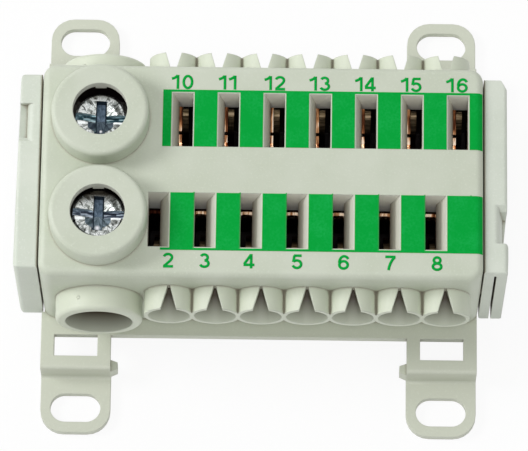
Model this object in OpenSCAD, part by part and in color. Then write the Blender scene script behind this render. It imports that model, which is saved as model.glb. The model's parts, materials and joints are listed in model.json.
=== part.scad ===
// Protective-earth distribution block: two screw terminals at one end and two rows of spring terminals,
// all joined by one copper bar inside a moulded housing on a base with four feet.
// X runs along the rows, Y from the front row to the rear row and Z up. The origin lies under the
// middle of the housing, on the plane that the feet stand on. Millimetres.

/* [Rows] */
// Distance between neighbouring spring terminals
pitch = 6.2; // [6:0.1:8]
// Spring terminals in each row
per_row = 7; // [3:1:8]

/* [Housing] */
// Length of the end that holds the screw terminals
screw_zone = 14.4; // [14.2:0.1:20]
// Wall beyond the last spring terminal
end_wall = 1.8; // [1.4:0.1:4]
// Depth from the front wall to the rear wall
housing_d = 30.2; // [29:0.1:36]
// Height from the base plate to the top face
housing_h = 18.9; // [18.4:0.1:24]
// Radius of the upright corners
corner_r = 1.8; // [1.4:0.1:3]
// Radius of the edge round the top face
edge_r = 1; // [0.4:0.1:1.3]
// Wall round the base rim
rim_wall = 1.6; // [1.2:0.1:2.5]

/* [Release slots] */
// Width of a slot at the top face
slot_w = 2.8; // [2.4:0.1:3.2]
// Length of a slot
slot_l = 7.7; // [6.8:0.1:9]
// Distance of a slot's inner end from the middle of the housing
slot_in = 3.3; // [2.6:0.1:4]
// Offset of a slot from its wire
slot_shift = 1.5; // [1.3:0.1:1.8]
// How far the wall on the wire's side leans in, in the rear row
slot_lean = 0.85; // [0.5:0.05:1.1]
// How far the wall on the wire's side leans in, in the front row
front_lean = 1.25; // [0.5:0.05:1.4]
// Depth of the leaning wall
slot_depth = 3.7; // [3:0.1:4.5]
// Depth of the walls at a slot's ends
end_depth = 5.4; // [4.8:0.1:6]

/* [Wire funnels] */
// Height of the spring terminals' wires above the base plate
wire_h = 11.7; // [10.5:0.1:13]
// Outer diameter of a funnel
funnel_d = 6.7; // [6.4:0.1:7.5]
// Diameter of a funnel's mouth
mouth_d = 5.65; // [4.5:0.05:6]
// Length of a funnel in front of the wall
funnel_l = 3.3; // [2:0.1:5]
// Depth of the funnel's cone
cone_l = 5; // [3:0.1:6]
// Diameter of the hole that guides a wire
wire_d = 3.2; // [2.4:0.1:3.4]
// Width of the notch at a funnel's rim
notch_w = 2.15; // [1:0.05:2.8]
// Width of the notch at the wall
notch_tip = 0.25; // [0.2:0.05:0.8]

/* [Screw terminals] */
// Distance of the screws from the end of the housing
screw_x = 7.95; // [7.8:0.05:9]
// Distance of each screw from the middle of the housing
screw_y = 7.2; // [7:0.05:8]
// Outer diameter of a collar
collar_d = 13.2; // [12:0.1:14]
// Height of a collar above the top face
collar_h = 3.75; // [2:0.05:6]
// Radius of a collar's top edge
collar_r = 0.7; // [0.4:0.1:1.5]
// Diameter of the hole in a collar's lip
lip_d = 7.35; // [7.2:0.05:8]
// Thickness of a collar's lip
lip_t = 1.3; // [0.8:0.1:1.8]
// Width of the stop that hangs from the lip
stop_w = 1.5; // [1:0.1:2.5]
// Height of the stop that hangs from the lip
stop_h = 0.8; // [0.4:0.1:1.2]
// Diameter of the chamber round a screw head
chamber_d = 10; // [9:0.1:10.8]
// Outer diameter of a wire tube
tube_d = 11.8; // [10.6:0.1:13]
// Bore of a wire tube
tube_bore = 9.1; // [7:0.1:9.6]
// Length of a wire tube in front of the wall
tube_l = 3.3; // [2:0.1:6]
// Radius of a wire tube's outer edge
tube_r = 0.6; // [0.2:0.1:1]

/* [Clamp frames] */
// Width of a frame
frame_w = 10.8; // [10.2:0.1:11]
// Length of a frame along the wire
frame_l = 7.6; // [6.5:0.1:8]
// Thickness of a frame's sides and floor
frame_t = 1; // [0.8:0.05:1.2]
// Thickness of a frame's threaded top
frame_top_t = 2.2; // [1.6:0.1:2.6]
// Height of the wire space in a frame
wire_gap = 8.2; // [7:0.1:8.6]
// Radius of a frame's folds
frame_r = 1.1; // [0.6:0.1:1.8]

/* [Screws] */
// Diameter of a screw head
head_d = 6.95; // [6.4:0.05:7.1]
// Height of a screw head
head_h = 2.4; // [1.8:0.1:3]
// Chamfer of a screw head
head_chamfer = 0.3; // [0.1:0.05:0.5]
// Diameter of a screw's thread
thread_d = 6; // [5:0.1:6.2]
// Diameter of the pin that carries the pressure foot
tip_d = 3.4; // [2:0.1:4]
// Offset of the screws from the collars, towards the middle of the housing
screw_in = 0.35; // [0:0.05:0.4]
// Gap under the front screw's head
lift_front = 2.9; // [0.4:0.05:3.4]
// Gap under the rear screw's head
lift_rear = 2.65; // [0.4:0.05:3.4]
// Turn of the front screw's recess
recess_turn_front = -3; // [-90:1:90]
// Turn of the rear screw's recess
recess_turn_rear = -3; // [-90:1:90]
// Width of the straight slot
drive_slot_w = 1.05; // [0.8:0.05:1.6]
// Depth of the straight slot
drive_slot_depth = 1; // [0.5:0.05:1.2]
// Width of the cross wing that stands across the slot
cross_w = 1.45; // [0.8:0.05:1.8]
// Width of the cross wing that lies in the slot
wing_w = 0.85; // [0.5:0.05:1]
// Span of the cross
cross_l = 4.8; // [3:0.1:5.4]
// Depth of the cross
cross_depth = 1.5; // [0.8:0.05:1.6]
// Diameter of the pit in the middle of the cross
pit_d = 4.4; // [2:0.1:4.6]
// Depth of the pit
pit_depth = 0.85; // [0.5:0.05:1.4]

/* [Pressure feet] */
// Height of a pressure foot above the copper strip when its screw is fully down
clamp_rest = 1.7; // [0.2:0.1:2]
// Thickness of a pressure foot
foot_plate_t = 1.4; // [1:0.1:2]
// Length of a pressure foot along the wire
foot_plate_l = 6.6; // [5:0.1:7]
// Radius of a pressure foot's ends
foot_plate_r = 0.5; // [0.2:0.05:0.6]

/* [Copper bar] */
// Thickness of the strip under the screw terminals and of the riser
strip_t = 1.5; // [1:0.1:1.8]
// Width of the strip under the screw terminals
strip_w = 8.6; // [7:0.1:8.7]
// Width of the long bar
bar_w = 8.8; // [7.4:0.1:9.6]
// Height of the long bar
bar_h = 3.4; // [2:0.1:5]
// Width of the riser
riser_w = 6; // [4:0.1:6.2]

/* [Contacts and springs] */
// Thickness of the copper clips
clip_t = 0.4; // [0.3:0.05:0.5]
// Visible ledge of a clip below the slot
clip_show = 0.37; // [0.2:0.01:0.4]
// Depth of a clip below the long bar
clip_drop = 1.4; // [0.8:0.1:2.5]
// Step from the top of a clip's legs down to its fold
fold_drop = 0.65; // [0.2:0.05:1]
// Thickness of the springs
spring_t = 0.3; // [0.2:0.02:0.34]
// Distance of a spring's cross leg from the middle of the housing
cross_leg_y = 6.6; // [6:0.1:7]
// Reach of a spring's cross leg past the wire
cross_leg_reach = 1.6; // [1.4:0.1:2]
// Width of a spring's bowed strip
bow_w = 0.78; // [0.6:0.02:0.9]
// Distance of a spring's bow from the middle of the housing
bow_y = 9.75; // [9.2:0.05:9.9]
// Radius of a spring's bow
bow_r = 0.6; // [0.3:0.05:0.7]

/* [Marking] */
// Distance of the bands' left ends from the first wire
band_start = 1.2; // [0.5:0.1:3]
// Margin of a band beyond the slots
band_margin = 0.45; // [0.2:0.05:1]
// Bare rim round each slot
band_rim = 0.15; // [0.05:0.05:0.3]
// Thickness of the print
print_t = 0.05; // [0.03:0.01:0.1]

/* [Base and feet] */
// Depth of the base plate
base_d = 35; // [33:0.1:42]
// Thickness of the base plate
base_t = 1.3; // [1:0.1:2]
// Clear height under the base plate
foot_rise = 3.5; // [2:0.1:6]
// Inset of the base plate from the ends of the housing
base_inset = 0.1; // [0:0.05:0.5]
// Width of a foot
foot_w = 9.6; // [9.4:0.1:14]
// How far a foot stands out past the end of the housing
foot_out = 0.1; // [0:0.05:1]
// Offset of the feet from the middle of the housing, towards the screw terminals
feet_shift = 0.2; // [0:0.05:0.4]
// Length of a foot in front of the base plate
foot_l = 12.9; // [12:0.1:18]
// Thickness of a foot
foot_t = 1.1; // [0.9:0.1:2]
// Radius of a foot's outer corners
foot_r = 3.2; // [1:0.1:4.5]
// Distance of the step's outer face from the base plate
step_y = 4.9; // [4.4:0.1:5.4]
// Thickness of the step
step_t = 1.2; // [0.8:0.1:1.5]
// Radius of the step's bends
step_r = 0.5; // [0.2:0.05:0.9]
// Length of a foot's screw slot
foot_slot_l = 6.9; // [5:0.1:8]
// Width of a foot's screw slot
foot_slot_w = 4; // [3:0.1:4.4]
// Distance of the screw slot from the foot's end
foot_slot_in = 3.5; // [3:0.1:4.5]
// Width of a foot's window
window_w = 5.95; // [4:0.05:8]
// Length of a foot's window
window_l = 3.05; // [1.5:0.05:3.1]
// Width of the hook beside a foot
hook_w = 0.95; // [0.4:0.05:1.5]
// Length of the hook beside a foot
hook_l = 1.7; // [1:0.1:2]
// Thickness of the base rim
rim_t = 1; // [0.6:0.1:1.2]
// Height of the base rim
rim_h = 1; // [0.5:0.1:1.2]
// Height of the rests under the clamp frames
rest_h = 2; // [1.4:0.1:2.4]

/* [End plates] */
// Thickness of the right end plate
plate_t = 3.1; // [2.6:0.1:4]
// How much thinner the left end plate is at its rear end
plate_taper = 0.2; // [0:0.05:0.4]
// Length of an end plate
plate_l = 27.7; // [26.5:0.1:28.5]
// Height of an end plate
plate_h = 20; // [16:0.1:20.4]
// Drop of an end plate below the top face
plate_drop = 1; // [0:0.1:2]
// Radius of an end plate's lower edges
plate_r = 1; // [0.4:0.1:1.4]
// Radius of an end plate's outer top edge
plate_top_r = 0.65; // [0.2:0.05:0.8]
// Radius of an end plate's inner top edge and of its ends' top edges
plate_edge_r = 0.35; // [0.1:0.05:0.5]
// Radius of the left end plate's upright edges
plate_corner_r = 0.8; // [0.3:0.1:1.2]
// Length of the chamfer at the right end plate's plain end
plate_chamfer_l = 1.45; // [0.5:0.05:2]
// Depth of the chamfer at the right end plate's plain end
plate_chamfer_w = 0.85; // [0.3:0.05:1.2]
// How far the latch stands out
latch_out = 0.15; // [0:0.05:0.6]
// Width of the slit behind the latch
slit_w = 0.3; // [0.15:0.05:0.5]
// Length of the slit behind the latch
slit_l = 3.9; // [2:0.1:6]
// Roof left above the slit
slit_roof = 1.4; // [0.8:0.1:3]
// Distance of the grip pocket from the middle of the plate
pocket_y = 4.9; // [3:0.1:6]
// Length of the grip pocket
pocket_l = 4.7; // [3:0.1:5.2]
// Depth of the grip pocket at the top
pocket_w = 1.4; // [0.6:0.1:1.6]
// Height of the grip pocket
pocket_h = 4.5; // [2:0.1:8]
// Depth of the grip pocket at its foot
pocket_low_w = 0.45; // [0.2:0.05:0.6]
// Softness of the grip pocket's edges
pocket_soft = 0.8; // [0.2:0.05:1]
// Depth of the left end plate's grip groove
groove_depth = 1; // [0.4:0.1:1.6]
// Distance of the grip groove's bottom from the outer face
groove_in = 1.15; // [0.6:0.05:1.4]
// Distance of the pegs from the middle of the plate
peg_y = 12.4; // [12:0.1:12.6]
// Height of the pegs above the base plate
peg_h = 8; // [4:0.1:13]
// Diameter of the pegs
peg_d = 2; // [1.4:0.1:2.4]
// Length of the pegs
peg_l = 1.5; // [1:0.1:1.7]

/* [Fits] */
// Gap between the housing and an end plate
plate_gap = 0.15; // [0.1:0.05:0.4]
// Clearance of the metal pieces in the housing
nest_gap = 0.2; // [0.1:0.05:0.3]
// Clearance of the base rim and the pegs
seat_gap = 0.05; // [0.03:0.01:0.1]
// Radial clearance of the screws
thread_gap = 0.05; // [0.02:0.01:0.1]
// Clearance of a pressure foot between the frame's sides
guide_gap = 0.2; // [0.1:0.05:0.3]

/* [Hidden] */
$fn = 48;
eps = 0.01;
overlap = 1.2;
rows = [0, 1];
row_names = ["front", "rear"];
steps = [0 : per_row - 1];

housing_l = screw_zone + per_row * pitch + end_wall;
half_l = housing_l / 2;
half_d = housing_d / 2;
base_top = foot_rise + base_t;
housing_top = base_top + housing_h;
collar_top = housing_top + collar_h;
screw_axis_x = screw_x - half_l;
group_x = screw_zone - half_l;
wire_z = base_top + wire_h;

slot_out = slot_in + slot_l;
slot_far = -slot_shift - slot_w / 2;
slot_near = -slot_shift + slot_w / 2;
cell_roof = housing_top - slot_depth;
low_roof = housing_top - end_depth;
cell_reach = 1.2;
cell_margin = 0.45;
cell_far = slot_far - cell_margin;
partition_t = 0.65;
cell_w = pitch - partition_t;

frame_bottom = base_top + rest_h;
strip_bottom = frame_bottom + frame_t;
strip_top = strip_bottom + strip_t;
frame_roof = strip_top + wire_gap;
frame_top = frame_roof + frame_top_t;
tube_z = strip_top + wire_gap / 2;
frame_bore_w = frame_w - 2 * frame_t;
chamber_w = frame_w + 2 * nest_gap;
chamber_l = frame_l + 2 * nest_gap;
chamber_roof = frame_top + nest_gap;

bar_over_wire = 0.3;
bar_lead = 0.4;
bar_short = 0.6;
bar_top = wire_z + bar_over_wire;
bar_bottom = bar_top - bar_h;
bar_start = group_x - bar_lead;
bar_end = half_l - end_wall - bar_short;

roof_gap = 0.05;
clip_top = cell_roof - roof_gap;
clip_bottom = bar_bottom - clip_drop;
clip_short = 0.6;
clip_out = slot_out - clip_short;
near_leg = slot_near - slot_lean - clip_show;
far_leg = cell_far + roof_gap + clip_t;
fold_r = 0.5;
gate_gap = 0.1;
spring_drop = 0.35;
spring_low = 0.2;
spring_gap = 0.07;
spring_top = clip_top - spring_drop;
spring_bottom = bar_bottom - spring_low;
strip_right = near_leg - spring_gap;
strip_left = strip_right - bow_w;
leg_slope = 60;
leg_y = bow_y - bow_r * sin(leg_slope);
leg_top = spring_top - spring_t / 2 - bow_r * (1 - cos(leg_slope));
leg_bottom = leg_top - (leg_y - cross_leg_y) * tan(leg_slope);
hip_rise = 0.6;
window_half = 1.5;
window_rail = 0.6;
window_end = 0.45;

lifts = [lift_front, lift_rear];
recess_turns = [recess_turn_front, recess_turn_rear];
swivel_gap = 0.05;
shank_l = frame_top - strip_top - clamp_rest - foot_plate_t - swivel_gap;
foot_plate_w = frame_bore_w - 2 * guide_gap;
tip_short = 0.2;
tip_l = foot_plate_t - tip_short;

foot_x = half_l + foot_out - foot_w / 2;
foot_root = 3.2;
foot_slot_y = foot_l - foot_slot_in;
hook_low = 0.2;
hook_high = 0.75;
plate_top = housing_top - plate_drop;
plate_x = half_l + plate_gap;
slit_x = (plate_t - slit_w) / 2;
plate_w = plate_t + latch_out;
plate_end = plate_l / 2;
pocket_end = -pocket_y - pocket_l;
latch_edge = 0.1;
latch_flat = 1.3;
latch_r = 0.55;
latch_nose = plate_end + pocket_end - latch_r - latch_flat;
tick_l = 1.1;
tick_w = 0.15;
tick_depth = 0.1;
tick_r = 2.05;
pit_floor_d = 1;

grey = "#c7d1c0";
foot_grey = "#ccd1bc";
green = "#18a648";
copper = "#b8703f";
steel = "#9ea3a8";
zinc = "#c9d3db";

function terminal_number(row, k) = row == 0 ? k + 2 : per_row + 3 + k;
function terminal_node(name, row, k) = str(name, "_", terminal_number(row, k));
function row_node(name, row) = str(name, "_", row_names[row]);

// Points along an arc, from one angle to another
function arc(centre, r, from, to, parts = 6) =
    [for (i = [0 : parts]) let (a = from + (to - from) * i / parts) centre + r * [cos(a), sin(a)]];

// Side view of a block with two rounded top edges, and half of it for a turned corner
function dome_profile(w, h, r) = concat(
    [[-w / 2, 0], [w / 2, 0]],
    arc([w / 2 - r, h - r], r, 0, 90),
    arc([r - w / 2, h - r], r, 90, 180));
function post_profile(w, h, r) = concat([[0, 0], [w, 0]], arc([w - r, h - r], r, 0, 90), [[0, h]]);

// Outline with its lower and upper corners rounded
function slab_profile(w, h, low_r, top_r) = concat(
    arc([low_r, low_r], low_r, 180, 270),
    arc([w - low_r, low_r], low_r, 270, 360),
    arc([w - top_r, h - top_r], top_r, 0, 90),
    arc([top_r, h - top_r], top_r, 90, 180));

// Outline of a ribbon of even thickness along a line of points
function heading(path, i) =
    let (a = path[max(i - 1, 0)], b = path[min(i + 1, len(path) - 1)]) (b - a) / norm(b - a);
function ribbon_side(path, offset) =
    [for (i = [0 : len(path) - 1]) let (d = heading(path, i)) path[i] + offset * [-d[1], d[0]]];
function reversed(points) = [for (i = [len(points) - 1 : -1 : 0]) points[i]];
function ribbon(path, t) = concat(ribbon_side(path, t / 2), reversed(ribbon_side(path, -t / 2)));

function wire_x(k) = group_x + (k + 0.5) * pitch;

// The rear row is the front row turned half round on each wire's own axis
module at_terminal(row, k) {
    translate([wire_x(k), 0, 0]) rotate([0, 0, 180 * row]) children();
}

module at_screw(row) {
    translate([screw_axis_x, 0, 0]) rotate([0, 0, 180 * row]) translate([0, -screw_y, 0]) children();
}

module box(low, high) {
    translate(low) cube(high - low);
}

// Block with rounded upright corners and a rounded edge round its top
module soft_block(l, d, h, corner, edge) {
    for (x = [-1, 1], y = [-1, 1])
        translate([x * (l / 2 - corner), y * (d / 2 - corner), 0])
            rotate_extrude() polygon(post_profile(corner, h, edge));
    translate([corner - l / 2, 0, 0])
        rotate([90, 0, 90]) linear_extrude(l - 2 * corner) polygon(dome_profile(d, h, edge));
    translate([0, d / 2 - corner, 0])
        rotate([90, 0, 0]) linear_extrude(d - 2 * corner) polygon(dome_profile(l, h, edge));
}

module collar() {
    translate([0, 0, housing_top - overlap])
        rotate_extrude() polygon(post_profile(collar_d / 2, collar_h + overlap, collar_r));
}

module wire_tube() {
    translate([0, screw_y - half_d + overlap, tube_z])
        rotate([90, 0, 0]) rotate_extrude() polygon(post_profile(tube_d / 2, tube_l + overlap, tube_r));
}

module funnel() {
    translate([0, overlap - half_d, wire_z])
        rotate([90, 0, 0]) cylinder(d = funnel_d, h = funnel_l + overlap);
}

// Room for a clamp frame, its screw and the wire that comes in through the tube
module clamp_chamber(row) {
    box([-chamber_w / 2, -chamber_l / 2, base_top - eps], [chamber_w / 2, chamber_l / 2, chamber_roof]);
    difference() {
        translate([0, 0, chamber_roof - overlap])
            cylinder(d = chamber_d, h = collar_top - lip_t - chamber_roof + overlap);
        rotate([0, 0, 180 * row]) rear_stop();
    }
    translate([0, 0, collar_top - overlap - lip_t]) cylinder(d = lip_d, h = lip_t + 2 * overlap);
    translate([0, 0, tube_z]) rotate([90, 0, 0]) cylinder(d = tube_bore, h = half_d);
}

// Small stop on the far side of a collar's lip
module rear_stop() {
    box([-stop_w / 2, lip_d / 2, collar_top - lip_t - stop_h], [stop_w / 2, chamber_d / 2 + 1, collar_top]);
}

// Opening of a release slot, with the wall on the wire's side leaning in
module slot_opening(row, rim = 0) {
    lean = row == 0 ? front_lean : slot_lean;
    far = slot_far - rim;
    near = slot_near + rim;
    leaning = [[far, cell_roof - eps], [near - lean, cell_roof - eps], [near, housing_top],
        [near, housing_top + 1], [far, housing_top + 1]];
    translate([0, rim - slot_in, 0]) rotate([90, 0, 0]) linear_extrude(slot_l + 2 * rim) polygon(leaning);
}

// Cell of one spring terminal with its slot, wire hole, cone and notch
module terminal_cell(row) {
    box([cell_far, -slot_out, base_top - eps], [cell_far + cell_w, -slot_in, cell_roof]);
    box([cell_far, -slot_out - cell_reach, base_top - eps], [cell_far + cell_w, -slot_in, low_roof]);
    slot_opening(row);
    rim_y = -half_d - funnel_l;
    translate([0, -slot_in, wire_z]) rotate([90, 0, 0]) cylinder(d = wire_d, h = half_d - slot_in);
    translate([0, rim_y + cone_l, wire_z])
        rotate([90, 0, 0]) cylinder(d1 = wire_d, d2 = mouth_d, h = cone_l + eps);
    translate([0, 0, wire_z]) linear_extrude(funnel_d)
        polygon([[-notch_tip / 2, -half_d], [notch_tip / 2, -half_d],
            [notch_w / 2, rim_y - eps], [-notch_w / 2, rim_y - eps]]);
}

// Room for the copper bar, from the screw terminals to the last spring terminal
module bar_channel() {
    strip_room = strip_w / 2 + nest_gap;
    box([screw_axis_x - strip_room, -screw_y, base_top - eps],
        [screw_axis_x + strip_room, screw_y, strip_top + nest_gap]);
    box([screw_axis_x, -riser_w / 2 - nest_gap / 2, base_top - eps],
        [bar_start + overlap, riser_w / 2 + nest_gap / 2, strip_top + nest_gap]);
    box([bar_start - nest_gap, -bar_w / 2 - nest_gap / 2, base_top - eps],
        [bar_end + nest_gap, bar_w / 2 + nest_gap / 2, bar_top + nest_gap]);
}

module peg_places() {
    for (y = [-1, 1]) translate([0, y * peg_y, base_top + peg_h]) rotate([0, 90, 0]) children();
}

module housing_body() {
    translate([0, 0, base_top]) soft_block(housing_l, housing_d, housing_h, corner_r, edge_r);
}

module housing() {
    color(grey) difference() {
        union() {
            housing_body();
            for (row = rows) {
                at_screw(row) collar();
                at_screw(row) wire_tube();
                for (k = steps) at_terminal(row, k) funnel();
            }
        }
        box([rim_wall - half_l, rim_wall - half_d, base_top - eps],
            [half_l - rim_wall, half_d - rim_wall, base_top + rim_h + nest_gap]);
        bar_channel();
        for (row = rows) {
            at_screw(row) clamp_chamber(row);
            for (k = steps) at_terminal(row, k) terminal_cell(row);
        }
        for (side = [0, 180]) rotate([0, 0, side]) translate([half_l - peg_l - nest_gap, 0, 0])
            peg_places() cylinder(d = peg_d + 2 * seat_gap, h = peg_l + overlap);
    }
}

// Printed field round one row of slots, which runs over the rounded edge at the far end
module marking_band(row) {
    side = row == 0 ? -1 : 1;
    near = side * slot_in;
    far = side * (slot_out + band_margin);
    color(green) difference() {
        intersection() {
            translate([0, 0, base_top]) soft_block(housing_l + 2 * print_t, housing_d + 2 * print_t,
                housing_h + print_t, corner_r + print_t, edge_r + print_t);
            box([wire_x(0) - band_start, min(near, far), housing_top - edge_r / 2],
                [half_l + 1, max(near, far), housing_top + 1]);
        }
        housing_body();
        for (k = steps) at_terminal(row, k) slot_opening(row, band_rim);
    }
}

// Copper bar: cross strip under both screw terminals, a riser, and the long bar between the rows
module busbar() {
    strip_end = screw_y + frame_l / 2 + nest_gap / 2;
    color(copper) {
        box([screw_axis_x - strip_w / 2, -strip_end, strip_bottom],
            [screw_axis_x + strip_w / 2, strip_end, strip_top]);
        box([screw_axis_x, -riser_w / 2, strip_bottom], [bar_start + strip_t, riser_w / 2, strip_top]);
        box([bar_start, -riser_w / 2, strip_bottom], [bar_start + strip_t, riser_w / 2, bar_top]);
        box([bar_start, -bar_w / 2, bar_bottom], [bar_end, bar_w / 2, bar_top]);
    }
}

// Copper clip of one spring terminal: a strip bent to a U that stands against the long bar
module contact_clip() {
    left = far_leg - clip_t / 2;
    right = near_leg + clip_t / 2;
    inner = -bar_w / 2 - clip_t / 2;
    fold_start = inner - fold_r - clip_t / 2;
    path = concat(
        [[left, -clip_out]],
        arc([left + fold_r, inner - fold_r], fold_r, 180, 90, 4),
        arc([right - fold_r, inner - fold_r], fold_r, 90, 0, 4),
        [[right, -clip_out]]);
    gate = spring_t / 2 + gate_gap;
    color(copper) difference() {
        translate([0, 0, clip_bottom]) linear_extrude(clip_top - clip_bottom) polygon(ribbon(path, clip_t));
        box([near_leg - eps, -cross_leg_y - gate, spring_bottom - gate_gap],
            [near_leg + clip_t + eps, gate - cross_leg_y, clip_top + 1]);
        box([far_leg - clip_t - eps, fold_start, clip_top - fold_drop],
            [near_leg + clip_t + eps, 0, clip_top + 1]);
    }
}

// Cage spring of one spring terminal: a bowed strip in the clip, and a cross leg with the wire's window
module clamp_spring() {
    path = concat(
        [[-bow_y - bow_r, spring_bottom]],
        arc([-bow_y, spring_top - spring_t / 2 - bow_r], bow_r, 180, 90 - leg_slope, 8),
        [[-cross_leg_y, leg_bottom]]);
    rail_top = wire_z + window_half + window_rail;
    hip_top = leg_bottom + hip_rise;
    cross_leg = [[strip_left, spring_bottom], [cross_leg_reach, spring_bottom], [cross_leg_reach, rail_top],
        [near_leg, rail_top], [near_leg, hip_top], [strip_left, hip_top]];
    color(steel) {
        translate([strip_left, 0, 0])
            rotate([90, 0, 90]) linear_extrude(bow_w) polygon(ribbon(path, spring_t));
        difference() {
            translate([0, spring_t / 2 - cross_leg_y, 0])
                rotate([90, 0, 0]) linear_extrude(spring_t) polygon(cross_leg);
            box([near_leg + clip_t, -cross_leg_y - 1, wire_z - window_half],
                [cross_leg_reach - window_end, 1 - cross_leg_y, wire_z + window_half]);
        }
    }
}

// Folded steel frame with a threaded top, round the copper strip and the wire
module clamp_frame() {
    color(steel) difference() {
        translate([-frame_w / 2, frame_l / 2, frame_bottom]) rotate([90, 0, 0])
            linear_extrude(frame_l)
                polygon(slab_profile(frame_w, frame_top - frame_bottom, frame_r, frame_r));
        box([-frame_bore_w / 2, -frame_l, strip_bottom], [frame_bore_w / 2, frame_l, frame_roof]);
        translate([0, screw_in, frame_roof - 1])
            cylinder(d = thread_d + 2 * thread_gap, h = frame_top_t + 2);
    }
}

// Slot, cross, pit and four tick marks of a screw head, sunk from the level of the head's face
module drive_recess() {
    box([-head_d, -drive_slot_w / 2, -drive_slot_depth], [head_d, drive_slot_w / 2, 1]);
    box([-cross_w / 2, -cross_l / 2, -cross_depth], [cross_w / 2, cross_l / 2, 1]);
    box([-cross_l / 2, -wing_w / 2, -cross_depth], [cross_l / 2, wing_w / 2, 1]);
    translate([0, 0, -pit_depth]) cylinder(d1 = pit_floor_d, d2 = pit_d, h = pit_depth + eps);
    for (a = [45 : 90 : 315]) rotate([0, 0, a])
        box([tick_r, -tick_w / 2, -tick_depth], [tick_r + tick_l, tick_w / 2, 1]);
}

module terminal_screw(row) {
    seat = frame_top + lifts[row];
    head = [[0, 0], [head_d / 2, 0], [head_d / 2, head_h - head_chamfer],
        [head_d / 2 - head_chamfer, head_h], [0, head_h]];
    color(zinc) translate([0, screw_in, seat]) {
        difference() {
            rotate_extrude() polygon(head);
            translate([0, 0, head_h]) rotate([0, 0, recess_turns[row]]) drive_recess();
        }
        translate([0, 0, -shank_l]) cylinder(d = thread_d, h = shank_l);
        translate([0, 0, -shank_l - tip_l]) cylinder(d = tip_d, h = tip_l + eps);
    }
}

// Plate that swivels on the screw's tip and presses the wire on the copper strip
module pressure_foot(row) {
    top = frame_top + lifts[row] - shank_l - swivel_gap;
    color(zinc) translate([0, screw_in, 0]) difference() {
        translate([-foot_plate_w / 2, foot_plate_l / 2, top - foot_plate_t]) rotate([90, 0, 0])
            linear_extrude(foot_plate_l)
                polygon(slab_profile(foot_plate_w, foot_plate_t, foot_plate_r, foot_plate_r));
        translate([0, 0, top - foot_plate_t - 1])
            cylinder(d = tip_d + 2 * thread_gap, h = foot_plate_t + 2);
    }
}

// Side view of a stepped foot, outward from the edge of the base plate
function foot_profile() = concat(
    [[-foot_root, foot_rise], [step_y - step_t, foot_rise], [step_y - step_t, 0]],
    [[foot_l, 0], [foot_l, foot_t]],
    arc([step_y + step_r, foot_t + step_r], step_r, 270, 180, 4),
    arc([step_y - step_r, base_top - step_r], step_r, 0, 90, 4),
    [[-foot_root, base_top]]);

// Plan of a foot with its two rounded outer corners
function foot_plan() = concat(
    [[-foot_w / 2, -foot_root - 1], [foot_w / 2, -foot_root - 1]],
    arc([foot_w / 2 - foot_r, foot_l - foot_r], foot_r, 0, 90),
    arc([foot_r - foot_w / 2, foot_l - foot_r], foot_r, 90, 180));

// One foot, pointing to +Y, with its hook on the -X side
module foot() {
    hook_y = step_y - hook_l;
    straight = (foot_slot_l - foot_slot_w) / 2;
    difference() {
        intersection() {
            translate([-foot_w / 2, 0, 0]) rotate([90, 0, 90]) linear_extrude(foot_w) polygon(foot_profile());
            translate([0, 0, -1]) linear_extrude(base_top + 2) polygon(foot_plan());
        }
        box([-window_w / 2, 0, -1], [window_w / 2, window_l, base_top + 1]);
        translate([0, foot_slot_y, -1]) {
            for (x = [-1, 1]) translate([x * straight, 0, 0]) cylinder(d = foot_slot_w, h = foot_t + 2);
            box([-straight, -foot_slot_w / 2, 0], [straight, foot_slot_w / 2, foot_t + 2]);
        }
    }
    translate([-foot_w / 2, hook_y, foot_t]) linear_extrude(foot_rise - foot_t)
        polygon([[overlap / 2, 0], [0, 0], [-hook_w, hook_low * hook_l], [-hook_w, hook_high * hook_l],
            [0, hook_l], [overlap / 2, hook_l]]);
}

module base_rim(inset, h) {
    x = half_l - rim_wall - inset;
    y = half_d - rim_wall - inset;
    box([-x, -y, base_top - overlap / 2], [x, y, base_top + h]);
}

module base() {
    color(foot_grey) {
        box([base_inset - half_l, -base_d / 2, foot_rise], [half_l - base_inset, base_d / 2, base_top]);
        translate([-feet_shift, 0, 0]) for (x = [0, 1], y = [0, 1]) mirror([1 - x, 0, 0]) mirror([0, y, 0])
            translate([foot_x, base_d / 2, 0]) foot();
        difference() {
            base_rim(seat_gap, rim_h);
            base_rim(seat_gap + rim_t, rim_h + 1);
        }
        for (row = rows) at_screw(row)
            box([-frame_bore_w / 2, -frame_l / 2, base_top - overlap / 2],
                [frame_bore_w / 2, frame_l / 2, frame_bottom]);
    }
}

// Plan of the right end plate: plain chamfered end at +Y, grip pocket and latch at -Y
function right_plan() = concat(
    [[0, -plate_end], [plate_w - latch_edge, -plate_end], [plate_w, latch_nose - plate_end]],
    arc([plate_w - latch_r, pocket_end - latch_r], latch_r, 0, 90),
    [[plate_t - pocket_low_w, pocket_end], [plate_t, -pocket_y], [plate_t, plate_end - plate_chamfer_l],
        [plate_t - plate_chamfer_w, plate_end], [0, plate_end]]);

// Plan of the left end plate, thinner at -Y, with rounded outer corners
function left_plan() = let (thin = plate_t - plate_taper, r = plate_corner_r) concat(
    [[0, -plate_end]],
    arc([thin - r, r - plate_end], r, 270, 360),
    arc([plate_w - r, plate_end - r], r, 0, 90),
    [[0, plate_end]]);

// Cross section of an end plate, which is softer at its outer top edge
function plate_section() = concat(
    arc([plate_r, plate_r], plate_r, 180, 270),
    arc([plate_w - plate_r, plate_r], plate_r, 270, 360),
    arc([plate_w - plate_top_r, plate_h - plate_top_r], plate_top_r, 0, 90),
    arc([plate_edge_r, plate_h - plate_edge_r], plate_edge_r, 90, 180));

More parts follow.
